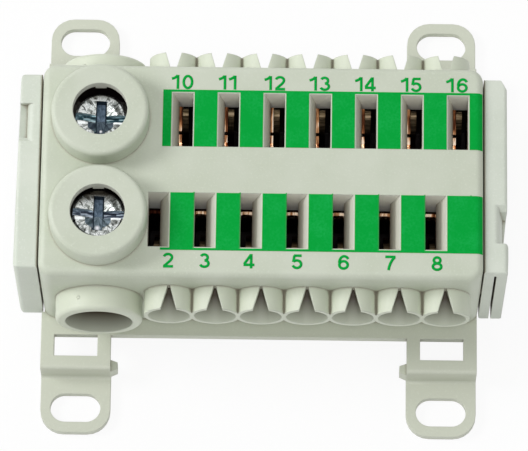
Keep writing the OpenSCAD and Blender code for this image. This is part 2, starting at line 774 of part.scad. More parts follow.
// Cross sections of the two grips: a pocket that opens outward, and a groove that leaves an outer lip
function pocket_section() = concat(
    [[plate_w + 1, plate_h + eps]],
    [[plate_t - pocket_w - pocket_soft / 2, plate_h + eps]],
    arc([plate_t - pocket_w - pocket_soft / 2, plate_h - pocket_soft], pocket_soft, 90, 10),
    [[plate_t - pocket_low_w, plate_h - pocket_h], [plate_w + 1, plate_h - pocket_h]]);
function groove_section() = let (bottom = plate_t - groove_in) concat(
    [[plate_w + 1, plate_h + eps]],
    [[bottom - groove_depth, plate_h + eps]],
    arc([bottom - groove_depth, plate_h - groove_depth], groove_depth, 90, 15),
    [[bottom, plate_h - groove_depth], [plate_t, plate_h - groove_depth / 2],
        [plate_w + 1, plate_h - groove_depth / 2]]);

// Cutter of a grip, with a sloped end towards the middle of the plate
module grip(section) {
    intersection() {
        translate([0, plate_end, 0]) rotate([90, 0, 0]) linear_extrude(plate_l) polygon(section);
        rotate([90, 0, 90]) linear_extrude(plate_w + 2)
            polygon([[pocket_soft - pocket_y, plate_h + 1], [pocket_soft - pocket_y, plate_h],
                [-pocket_y, plate_h - pocket_soft], [-pocket_y, plate_h - pocket_h - 1],
                [pocket_end, plate_h - pocket_h - 1], [pocket_end, plate_h + 1]]);
    }
}

module end_plate(plan, section) {
    translate([plate_x, 0, plate_top - plate_h]) {
        difference() {
            intersection() {
                linear_extrude(plate_h) polygon(plan);
                translate([0, plate_end, 0])
                    rotate([90, 0, 0]) linear_extrude(plate_l) polygon(plate_section());
                rotate([90, 0, 90]) linear_extrude(plate_w) translate([-plate_end, 0])
                    polygon(slab_profile(plate_l, plate_h, plate_edge_r, plate_edge_r));
            }
            grip(section);
            box([slit_x, -plate_end - 1, -1], [slit_x + slit_w, slit_l - plate_end, plate_h - slit_roof]);
        }
        translate([-plate_gap - peg_l, 0, plate_h - plate_top])
            peg_places() cylinder(d = peg_d, h = peg_l + plate_gap + eps);
    }
}

module end_plate_right() color(grey) end_plate(right_plan(), pocket_section());
module end_plate_left() color(grey) rotate([0, 0, 180]) end_plate(left_plan(), groove_section());

housing();
base();
end_plate_left();
end_plate_right();
busbar();
for (row = rows) {
    marking_band(row);
    at_screw(row) clamp_frame();
    at_screw(row) terminal_screw(row);
    at_screw(row) pressure_foot(row);
    for (k = steps) {
        at_terminal(row, k) contact_clip();
        at_terminal(row, k) clamp_spring();
    }
}
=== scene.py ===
# Looks of a protective-earth distribution block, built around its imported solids.
import json
import math

import bpy
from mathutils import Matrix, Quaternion, Vector


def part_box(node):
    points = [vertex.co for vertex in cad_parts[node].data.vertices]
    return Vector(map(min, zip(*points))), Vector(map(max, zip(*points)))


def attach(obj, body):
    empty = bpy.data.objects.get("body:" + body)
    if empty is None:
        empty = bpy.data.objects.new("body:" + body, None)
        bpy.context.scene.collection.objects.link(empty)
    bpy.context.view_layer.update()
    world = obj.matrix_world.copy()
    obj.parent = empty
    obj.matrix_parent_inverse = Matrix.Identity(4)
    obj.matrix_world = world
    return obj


mm = 0.001
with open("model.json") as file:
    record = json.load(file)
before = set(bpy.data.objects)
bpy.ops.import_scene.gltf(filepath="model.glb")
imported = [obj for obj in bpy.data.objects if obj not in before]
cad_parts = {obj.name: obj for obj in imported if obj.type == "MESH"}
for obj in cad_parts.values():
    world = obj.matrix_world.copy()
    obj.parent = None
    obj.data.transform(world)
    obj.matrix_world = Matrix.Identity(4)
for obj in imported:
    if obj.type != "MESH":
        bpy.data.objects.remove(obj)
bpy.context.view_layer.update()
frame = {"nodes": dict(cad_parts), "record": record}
print("frame loaded:", len(frame["nodes"]), "solids")

# Places that the looks take from the solids and the record
housingLow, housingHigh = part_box("housing")
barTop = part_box("busbar")[1].z
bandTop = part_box("marking_band_front")[1].z
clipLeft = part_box("contact_clip_2")[0].x
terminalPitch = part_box("contact_clip_3")[0].x - clipLeft
tubeMount = next(mount for mount in frame["record"]["mounts"] if mount["name"] == "wire_tube_rear")
tubeX, tubeY, tubeZ = tubeMount["pos_m"]


def ink(code):  # sRGB hex to the linear colour that the shader takes
    parts = [int(code[i:i + 2], 16) / 255 for i in (0, 2, 4)]
    return [c / 12.92 if c <= 0.04045 else ((c + 0.055) / 1.055) ** 2.4 for c in parts] + [1]


def put(tree, kind, inputs=None, stops=(), **settings):  # one node with its settings, links and colour stops
    node = tree.nodes.new(kind)
    for name, value in settings.items():
        setattr(node, name, value)
    for socket, value in (inputs or {}).items():
        if isinstance(value, bpy.types.Node):
            value = value.outputs[0]
        if isinstance(value, bpy.types.NodeSocket):
            tree.links.new(value, node.inputs[socket])
        else:
            node.inputs[socket].default_value = ink(value) if isinstance(value, str) else value
    for i, (spot, code) in enumerate(stops):
        ends = node.color_ramp.elements
        element = ends[i] if i < len(ends) else ends.new(1.0)
        element.position, element.color = spot, ink(code)
    return node


def zone(tree, *limits):  # mask that is 0 up to each value's first limit and 1 from its second
    mask = 1.0
    for value, none, full in limits:
        side = put(tree, "ShaderNodeMapRange", {0: value, 1: none, 2: full})
        mask = put(tree, "ShaderNodeMath", {0: mask, 1: side}, operation="MULTIPLY")
    return mask


def coat(tree, colour, *coats):  # lays further colours over a colour, each where its mask is 1
    for mask, tone in coats:
        colour = put(tree, "ShaderNodeMix", {0: mask, 6: colour, 7: tone}, data_type="RGBA").outputs[2]
    return colour


def blankMaterial(name):
    material = bpy.data.materials.new(name)
    material.use_nodes = True
    material.node_tree.nodes.clear()
    return material, material.node_tree


cameraSet = {
    "place": (3.58 * mm, -205.33 * mm, 597.15 * mm),
    "azimuth": 0.927,  # degrees round the block, from its front
    "elevation": 70.995,
    "roll": -0.139,
    "lens": 308.6,  # mm
    "sensor": 36,  # mm across
    "clip": (0.05, 20),  # m
}


def makeCamera():
    azimuth = math.radians(cameraSet["azimuth"])
    elevation = math.radians(cameraSet["elevation"])
    back = Vector((math.sin(azimuth) * math.cos(elevation),
                   -math.cos(azimuth) * math.cos(elevation), math.sin(elevation)))
    data = bpy.data.cameras.new("photoCamera")
    data.lens = cameraSet["lens"]
    data.sensor_width = cameraSet["sensor"]
    data.clip_start, data.clip_end = cameraSet["clip"]
    camera = bpy.data.objects.new("photoCamera", data)
    bpy.context.scene.collection.objects.link(camera)
    camera.location = cameraSet["place"]
    camera.rotation_mode = "QUATERNION"
    roll = Quaternion((0, 0, 1), math.radians(cameraSet["roll"]))
    camera.rotation_quaternion = back.to_track_quat("Z", "Y") @ roll
    bpy.context.scene.camera = camera


makeCamera()

# Screen-printed ink: an even, flat film, slightly speckled where it lies thin on the grain
inkSet = {
    "base": "029e3a",
    "thin": "12a648",
    "thinShare": (0.2, 0.42),  # values of the noise between which the ink gets thin
    "speckSize": 0.35 * mm,
    "speckNoise": {"Detail": 2.0, "Roughness": 0.6},
    "cloudSize": 3 * mm,
    "shine": {"Roughness": 0.65, "IOR": 1.5, "Specular IOR Level": 0.05},
    "relief": {"Strength": 0.1, "Distance": 0.02 * mm},
}

# Moulded polyamide 6.6: a spark-eroded tool leaves a fine matt grain and the grey has faint clouds from the
# flow of the melt. Rounded edges get a painted highlight, crevices a painted shade, the slot and lip walls
# painted light and shade, the tubes and funnels are painted paler as painted light, and the bores and cells
# are painted dark as shade.
plasticSet = {
    # the edge tones: a painted highlight on rounded edges
    # the tubes and funnels are painted a shade paler, as painted light
    "housing": {"base": "c5cbbb", "cloud": "bec5b3", "speck": "cad0c0", "edge": "d3d8ca", "spout": "cdd3c1"},
    "plate": {"base": "cfd5c9", "cloud": "c8cfc2", "speck": "d4d9cf", "edge": "dbe0d7"},
    "base": {"base": "c9cdbd", "cloud": "c2c7b6", "speck": "cfd3c4", "edge": "d6dacb"},
    # painted shade laid into crevices, where little of the surroundings is open
    "crevice": "a09c8b",
    # painted shade in the wire tubes and funnels, darker with depth
    "bore": "44361f",
    # painted shade: the cells and screw chambers are painted near black
    "inside": "1a0c09",
    "throat": [(0.0, "87796b"), (0.4, "cfcdc0"), (1.0, "d8d9cc")],  # slot and lip walls: painted light at the top, and painted shade at their feet, warmed brown as light off the copper would
    "endWall": "e9e8de",  # painted light: the end walls are painted pale down to their feet
    "endWallFacing": (0.7, 0.9),  # how squarely a wall has to face along the block's depth
    "endWallHeight": (1.0, 0.97),  # share of the throat's height
    "cloudSize": 7 * mm,
    "cloudNoise": {"Detail": 3.0, "Roughness": 0.55},
    "cloudShare": (0.35, 0.65),  # values of the noise between which the tone changes
    "speckSize": 0.3 * mm,  # the real grain is about 0.05 mm and is drawn coarser so that it shows
    "speckNoise": {"Detail": 2.0, "Roughness": 0.6},
    "speckShare": (0.56, 0.74),
    "edgeRadius": 0.2 * mm,
    "edgeBend": (0.99, 0.85),  # cosine of the turn from the face to the rounded edge, where the painted highlight sets in
    "creviceReach": 0.8 * mm,
    "creviceShade": (0.68, 0.46),  # share of the surroundings that is open
    "rough": (0.42, 0.58),
    "relief": {"Strength": 0.12, "Distance": 0.05 * mm},
    "refraction": 1.53,
    "soft": 0.15 * mm,  # width over which one part's colour passes into the next one's
    "topFace": bandTop - 0.05 * mm,  # the printed bands stand a little out of it
    "throatFoot": bandTop - 4.15 * mm,
    "hall": {"x": housingHigh.x - 1.8 * mm, "y": 12.2 * mm, "floor": housingLow.z - 0.05 * mm,
             "roof": barTop + 0.1 * mm},  # where the cells lie
    "rim": {"x": housingHigh.x - 1.5 * mm, "y": 13.6 * mm,
            "roof": housingLow.z + 1.2 * mm},  # the base's rim, hidden round the cells' feet
    "spouts": (tubeY + 0.1 * mm, tubeY + 0.3 * mm),  # tubes and funnels stand out of the walls from here, and past it they are painted paler as painted light
    "well": {"x": tubeX, "y": 7.2 * mm, "reach": 5.1 * mm, "lip": 3.9 * mm,
             "roof": housingHigh.z - 2.15 * mm, "top": housingHigh.z - 0.05 * mm},
    "tube": {"x": tubeX, "z": tubeZ, "bore": (tubeMount["dims"]["r_mm"] + 0.05) * mm,
             "mouth": housingHigh.y + 0.3 * mm, "dark": housingHigh.y - 3 * mm},
    "funnel": {"x": clipLeft + 3.3 * mm, "z": 16.5 * mm, "pitch": terminalPitch,
               "first": clipLeft + 0.2 * mm, "last": housingHigh.x - 1.8 * mm,
               "wire": 1.6 * mm, "rim": 2.83 * mm, "mouth": housingHigh.y,
               "throat": housingHigh.y - 5 * mm, "dark": housingHigh.y - 3.6 * mm},
    "bleed": {"far": -3.06 * mm, "near": -2.88 * mm, "first": clipLeft + 3.1 * mm,
              "y": (-11.1 * mm, -3.2 * mm), "soft": 0.02 * mm},  # ink that ran to the front slots' left edges
}


def readPlace(tree):  # where a point lies: on the axes, off the middle planes, and aside of its terminal
    funnel = plasticSet["funnel"]
    place = put(tree, "ShaderNodeTexCoord").outputs["Object"]
    x, y, z = put(tree, "ShaderNodeSeparateXYZ", {0: place}).outputs
    offset = put(tree, "ShaderNodeMath", {0: x, 1: funnel["x"]}, operation="SUBTRACT")
    aside = put(tree, "ShaderNodeMath", {0: offset, 1: 0.5 * funnel["pitch"], 2: -0.5 * funnel["pitch"]},
                operation="WRAP")  # the same for every terminal of a row
    return {"place": place, "x": x, "y": y, "z": z, "aside": aside,
            "across": put(tree, "ShaderNodeMath", {0: x}, operation="ABSOLUTE"),
            "along": put(tree, "ShaderNodeMath", {0: y}, operation="ABSOLUTE")}


def cellMasks(tree, at):  # the slots' and collars' walls, which get painted light and shade, and the cells and screw chambers behind them, which are painted dark as shade
    hall, rim, well = (plasticSet[part] for part in ("hall", "rim", "well"))
    soft, top, z = plasticSet["soft"], plasticSet["topFace"], at["z"]
    floor = (z, hall["floor"] - soft, hall["floor"])
    plan = ((at["across"], hall["x"] + soft, hall["x"]), (at["along"], hall["y"] + soft, hall["y"]))
    cells = zone(tree, *plan, floor, (z, hall["roof"] + soft, hall["roof"] - soft))
    foot = zone(tree, (at["across"], rim["x"] + soft, rim["x"]), (at["along"], rim["y"] + soft, rim["y"]),
                floor, (z, rim["roof"] + soft, rim["roof"]))
    inside = put(tree, "ShaderNodeMath", {0: cells, 1: foot}, operation="MAXIMUM")
    walls = zone(tree, *plan, (z, top, top - 0.5 * soft), (z, hall["roof"] - soft, hall["roof"]))
    flat = put(tree, "ShaderNodeVectorMath", {0: at["place"], 1: (1, 1, 0)}, operation="MULTIPLY")
    for side in (-1, 1):
        reach = put(tree, "ShaderNodeVectorMath", {0: flat, 1: (well["x"], side * well["y"], 0)},
                    operation="DISTANCE").outputs["Value"]
        chamber = zone(tree, floor, (z, well["roof"] + soft, well["roof"]),
                       (reach, well["reach"] + soft, well["reach"]))
        lip = zone(tree, (z, well["roof"], well["roof"] + soft), (z, well["top"], well["top"] - 0.5 * soft),
                   (reach, well["lip"], well["lip"] - soft))
        inside = put(tree, "ShaderNodeMath", {0: inside, 1: chamber}, operation="MAXIMUM")
        walls = put(tree, "ShaderNodeMath", {0: walls, 1: lip}, operation="MAXIMUM")
    return walls, inside


def paintedBoreShade(tree, at):  # painted shade in the wire tubes and funnels, darker with depth
    tube, funnel, soft = plasticSet["tube"], plasticSet["funnel"], plasticSet["soft"]
    section = put(tree, "ShaderNodeVectorMath", {0: at["place"], 1: (1, 0, 1)}, operation="MULTIPLY")
    tubeReach = put(tree, "ShaderNodeVectorMath", {0: section, 1: (tube["x"], 0, tube["z"])},
                    operation="DISTANCE").outputs["Value"]
    tubes = zone(tree, (tubeReach, tube["bore"] + soft, tube["bore"]),
                 (at["along"], tube["mouth"], tube["dark"]))
    rise = put(tree, "ShaderNodeMath", {0: at["z"], 1: funnel["z"]}, operation="SUBTRACT")
    spoke = put(tree, "ShaderNodeCombineXYZ", {"X": at["aside"], "Z": rise})
    funnelReach = put(tree, "ShaderNodeVectorMath", {0: spoke}, operation="LENGTH").outputs["Value"]
    cone = put(tree, "ShaderNodeMapRange", {0: at["along"], 1: funnel["throat"], 2: funnel["mouth"],
                                            3: funnel["wire"], 4: funnel["rim"]})
    gap = put(tree, "ShaderNodeMath", {0: funnelReach, 1: cone}, operation="SUBTRACT")
    funnels = zone(tree, (gap, soft, 0.3 * soft), (at["along"], funnel["mouth"], funnel["dark"]),
                   (at["x"], funnel["first"] - soft, funnel["first"]),
                   (at["x"], funnel["last"] + soft, funnel["last"]))
    return put(tree, "ShaderNodeMath", {0: tubes, 1: funnels}, operation="MAXIMUM")


def bleedMask(tree, at):
    bleed, top = plasticSet["bleed"], plasticSet["topFace"]
    soft, (front, back) = bleed["soft"], bleed["y"]
    return zone(tree, (at["aside"], bleed["far"] - soft, bleed["far"]),
                (at["aside"], bleed["near"] + soft, bleed["near"]),
                (at["y"], front - soft, front), (at["y"], back + soft, back),
                (at["z"], top - 2 * soft, top - soft), (at["x"], bleed["first"] - soft, bleed["first"]))


def makePlastic(name, colours):
    material, tree = blankMaterial(name)
    at = readPlace(tree)
    cloud = put(tree, "ShaderNodeTexNoise", {"Vector": at["place"], "Scale": 1 / plasticSet["cloudSize"],
                                             **plasticSet["cloudNoise"]})
    speck = put(tree, "ShaderNodeTexNoise", {"Vector": at["place"], "Scale": 1 / plasticSet["speckSize"],
                                             **plasticSet["speckNoise"]})
    clear = put(tree, "ShaderNodeAmbientOcclusion", {"Distance": plasticSet["creviceReach"]}, samples=8)
    edge = put(tree, "ShaderNodeBevel", {"Radius": plasticSet["edgeRadius"]}, samples=4)
    level = put(tree, "ShaderNodeNewGeometry").outputs["Normal"]
    bend = put(tree, "ShaderNodeVectorMath", {0: edge, 1: level}, operation="DOT_PRODUCT").outputs["Value"]
    height = zone(tree, (at["z"], plasticSet["throatFoot"], plasticSet["topFace"]))
    throat = put(tree, "ShaderNodeValToRGB", {0: height}, plasticSet["throat"])
    endways = put(tree, "ShaderNodeVectorMath", {0: level, 1: (0, 1, 0)},
                  operation="DOT_PRODUCT").outputs["Value"]
    square = put(tree, "ShaderNodeMath", {0: endways}, operation="ABSOLUTE")
    endWall = zone(tree, (square, *plasticSet["endWallFacing"]), (height, *plasticSet["endWallHeight"]))
    paintedWallLightAndShade = coat(tree, throat.outputs["Color"], (endWall, plasticSet["endWall"]))
    walls, inside = cellMasks(tree, at)
    # Over the moulding's clouds and grain: the tubes and funnels painted paler as painted light, a painted
    # highlight on rounded edges, painted shade in crevices, bores and cells, ink that ran, and painted light
    # and shade on the slot and lip walls
    colour = coat(tree, colours["base"],
                  (zone(tree, (cloud, *plasticSet["cloudShare"])), colours["cloud"]),
                  (zone(tree, (at["along"], *plasticSet["spouts"])), colours.get("spout", colours["base"])),
                  (zone(tree, (speck, *plasticSet["speckShare"])), colours["speck"]),
                  (zone(tree, (bend, *plasticSet["edgeBend"])), colours["edge"]),
                  (zone(tree, (clear.outputs["AO"], *plasticSet["creviceShade"])), plasticSet["crevice"]),
                  (paintedBoreShade(tree, at), plasticSet["bore"]), (bleedMask(tree, at), inkSet["base"]),
                  (walls, paintedWallLightAndShade), (inside, plasticSet["inside"]))
    grain = put(tree, "ShaderNodeBump", {"Height": speck, "Normal": edge, **plasticSet["relief"]})
    smooth, rough = plasticSet["rough"]
    dull = put(tree, "ShaderNodeMapRange", {0: speck, 3: smooth, 4: rough})
    shader = put(tree, "ShaderNodeBsdfPrincipled", {"Base Color": colour, "Roughness": dull, "Normal": grain,
                                                    "IOR": plasticSet["refraction"]})
    put(tree, "ShaderNodeOutputMaterial", {"Surface": shader})
    return material


def makePrint(name):
    material, tree = blankMaterial(name)
    place = put(tree, "ShaderNodeTexCoord").outputs["Object"]
    speck = put(tree, "ShaderNodeTexNoise", {"Vector": place, "Scale": 1 / inkSet["speckSize"],
                                             **inkSet["speckNoise"]})
    cloud = put(tree, "ShaderNodeTexNoise", {"Vector": place, "Scale": 1 / inkSet["cloudSize"]})
    thin = put(tree, "ShaderNodeMath", {0: speck, 1: cloud}, operation="MULTIPLY")
    colour = coat(tree, inkSet["base"], (zone(tree, (thin, *inkSet["thinShare"])), inkSet["thin"]))
    film = put(tree, "ShaderNodeBump", {"Height": speck, **inkSet["relief"]})
    shader = put(tree, "ShaderNodeBsdfPrincipled", {"Base Color": colour, "Normal": film, **inkSet["shine"]})
    put(tree, "ShaderNodeOutputMaterial", {"Surface": shader})
    return material


# Sheet metals: rolled copper, spring strip and folded zinced steel show the rolling direction as fine
# streaks. Painted shade darkens them with depth, the springs are painted browner as painted shade, the inner
# half of the contacts gets a painted highlight, and the rear contacts get a painted shade near the block's
# middle.
metalSet = {
    # each finish's dark tone is painted shade, laid on with depth and near the block's middle in the rear row
    "copper": {"tones": [(0.43, "4a2818"), (0.52, "855434"), (0.6, "c08e64"), (0.68, "f3dcc4")],
               "pit": "1c0a05", "rough": (0.26, 0.42), "streak": 0.4 * mm, "rolled": (1.0, 0.12, 0.4),
               "worn": 0.15, "depth": (18.4 * mm, 17.4 * mm), "stain": (4.95 * mm, 4.8 * mm)},
    # a copy of the copper painted dark as painted shade
    "tarnish": {"tones": [(0.45, "1c0a05"), (0.6, "3a1c10"), (0.72, "6b412a")],
                "pit": "1c0a05", "rough": (0.35, 0.5), "streak": 0.4 * mm, "rolled": (1.0, 0.12, 0.4),
                "worn": 0.1, "depth": (18.4 * mm, 17.4 * mm), "stain": (4.95 * mm, 4.8 * mm)},
    # the springs' tones are painted dark and brown as painted shade
    "spring": {"tones": [(0.36, "4d412f"), (0.5, "76664f"), (0.62, "a39177")],
               "pit": "140c09", "rough": (0.5, 0.65), "streak": 0.3 * mm, "rolled": (0.12, 1.0, 1.0),
               "worn": 0.0, "depth": (18.6 * mm, 16.8 * mm), "stain": (7.2 * mm, 7 * mm)},
    "frame": {"tones": [(0.38, "6e6b63"), (0.56, "a7a59c")],
              "pit": "1a1512", "rough": (0.35, 0.5), "streak": 0.3 * mm, "rolled": (1.0, 0.35, 1.0),
              "worn": 0.0, "depth": (30 * mm, 12 * mm)},
    "foot": {"tones": [(0.38, "8f8f8c"), (0.58, "c9cbc9")],
             "pit": "1a1512", "rough": (0.3, 0.45), "streak": 0.3 * mm, "rolled": (1.0, 0.35, 1.0),
             "worn": 0.0, "depth": (30 * mm, 6 * mm)},
    "streakNoise": {"Detail": 4.0},
    "wear": (8.2 * mm, 5 * mm),  # distances from the block's middle over which the painted highlight sets in
    "wearBack": (-14 * mm, 3 * mm),  # the rear row gets more of the painted highlight
    "stainBack": (0.0, 1 * mm),  # only the rear row gets this painted shade
    "relief": {"Strength": 0.25, "Distance": 0.02 * mm},
}


def makeMetal(name, finish):
    material, tree = blankMaterial(name)
    place = put(tree, "ShaderNodeTexCoord").outputs["Object"]
    rolled = put(tree, "ShaderNodeMapping", {"Vector": place, "Scale": finish["rolled"]})
    streak = put(tree, "ShaderNodeTexNoise", {"Vector": rolled, "Scale": 1 / finish["streak"],
                                              **metalSet["streakNoise"]})
    y, z = put(tree, "ShaderNodeSeparateXYZ", {0: place}).outputs[1:]
    side = put(tree, "ShaderNodeMath", {0: y}, operation="ABSOLUTE")
    wear = zone(tree, (side, *metalSet["wear"]), (y, *metalSet["wearBack"]))
    # the rolling streaks, raised by a painted highlight on the inner half of the contacts
    streakAndHighlight = put(tree, "ShaderNodeMath", {0: wear, 1: finish["worn"], 2: streak}, operation="MULTIPLY_ADD")
    tone = put(tree, "ShaderNodeValToRGB", {0: streakAndHighlight}, finish["tones"])
    colour = coat(tree, tone.outputs["Color"], (zone(tree, (z, *finish["depth"])), finish["pit"]))
    # painted shade on the rear contacts and springs near the block's middle
    if "stain" in finish:
        stain = zone(tree, (side, *finish["stain"]), (y, *metalSet["stainBack"]))
        colour = coat(tree, colour, (stain, finish["pit"]))
    low, high = finish["rough"]
    dull = put(tree, "ShaderNodeMapRange", {0: streak, 3: low, 4: high})
    scratch = put(tree, "ShaderNodeBump", {"Height": streak, **metalSet["relief"]})
    shader = put(tree, "ShaderNodeBsdfPrincipled", {"Base Color": colour, "Metallic": 1.0, "Roughness": dull,
                                                    "Normal": scratch})
    put(tree, "ShaderNodeOutputMaterial", {"Surface": shader})
    return material


# Blue-passivated zinc on steel screws: the face is hammered and scraped by drivers, and its glints and dark
# patches are painted into the colour as painted reflections; the recess keeps its blue film under painted
# reflections, painted shade and painted highlights, and the shank shows its thread.
zincSet = {
    # the face's dents, with painted glints and dark patches standing in for their reflections
    "glints": [(0.37, "33342f"), (0.43, "777b78"), (0.49, "a4a9a6"), (0.54, "f4f7f6"), (0.6, "b4bab7"),
               (0.68, "e3e7e5")],
    # painted reflection of the dark lip and chamber, laid toward the head's rear rim
    "lee": {"front": ((1.0 * mm, 2.7 * mm), "3a3630"), "rear": ((2.2 * mm, 3.6 * mm), "59554e")},
    "burr": "f6fbfb",  # a painted highlight along the slot's front edge
    "burrWidth": (0.45 * mm, 0.3 * mm),
    # painted sheen on the recess walls that face the front
    "slotWall": "cfe0e4",
    "wallFacing": (-0.4, -0.7),  # walls that face the front
    "slot": {"front": [(0.4, "3d4350"), (0.52, "5a6472"), (0.6, "bec8d4")],
             "rear": [(0.4, "2a434b"), (0.52, "466069"), (0.6, "b8d0d6")]},
    # painted reflection of the dark chamber on the pit's slope in front of the slot
    "dome": {"front": [(0.42, "4c5a60"), (0.62, "8a9aa6")], "rear": [(0.42, "3e4853"), (0.62, "66757f")]},
    "wing": [(0.4, "485867"), (0.6, "75879a")],
    # painted shade along the wing's edges
    "wingEdge": "222c35",
    "wingEdgeAt": (0.68, 0.86),  # share of the wing's half width where the painted shade sets in
    # painted highlight on the wing's floor
    "shine": "f6f6fa",
    "slotHalf": 0.52 * mm,
    "slotFloor": -0.9 * mm,
    "wingHalf": 0.72 * mm,
    "wingFloor": -1.3 * mm,
    "domeReach": 2.15 * mm,
    "domeHalf": 1.7 * mm,
    "domeFade": 0.2 * mm,
    "shineAt": {"front": (-0.12 * mm, -1.6 * mm, 0), "rear": (0, -1.45 * mm, 0)},
    "shineReach": {"front": 0.45 * mm, "rear": 0.25 * mm},
    "shineCore": 0.2,  # share of the reach
    "rayTurn": 2 * mm,  # scrapes run from the middle outward
    "rayShare": 0.45,
    "glintSize": 0.48 * mm,  # real dents are about 0.1 mm wide and are drawn coarser so that they show
    "glintNoise": {"Detail": 5.0, "Roughness": 0.68, "Distortion": 0.6},
    "glintShare": (0.35, 0.65),  # values of the noise between which the dents get smoother
    "lineSize": 0.3 * mm,
    "lineNoise": {"Detail": 2.0},
    "lineDrawn": (0.2, 1.6, 0.3),
    "relief": {"Strength": 0.5, "Distance": 0.03 * mm},
    "rough": (0.16, 0.34),
    "recessRough": 0.55,
    "threadPitch": 1 * mm,
    "threadDepth": 0.4 * mm,
    "shankTop": -2.45 * mm,
    "sunk": (-0.01 * mm, -0.03 * mm),  # below the head's face
    "blur": 0.05 * mm,
}


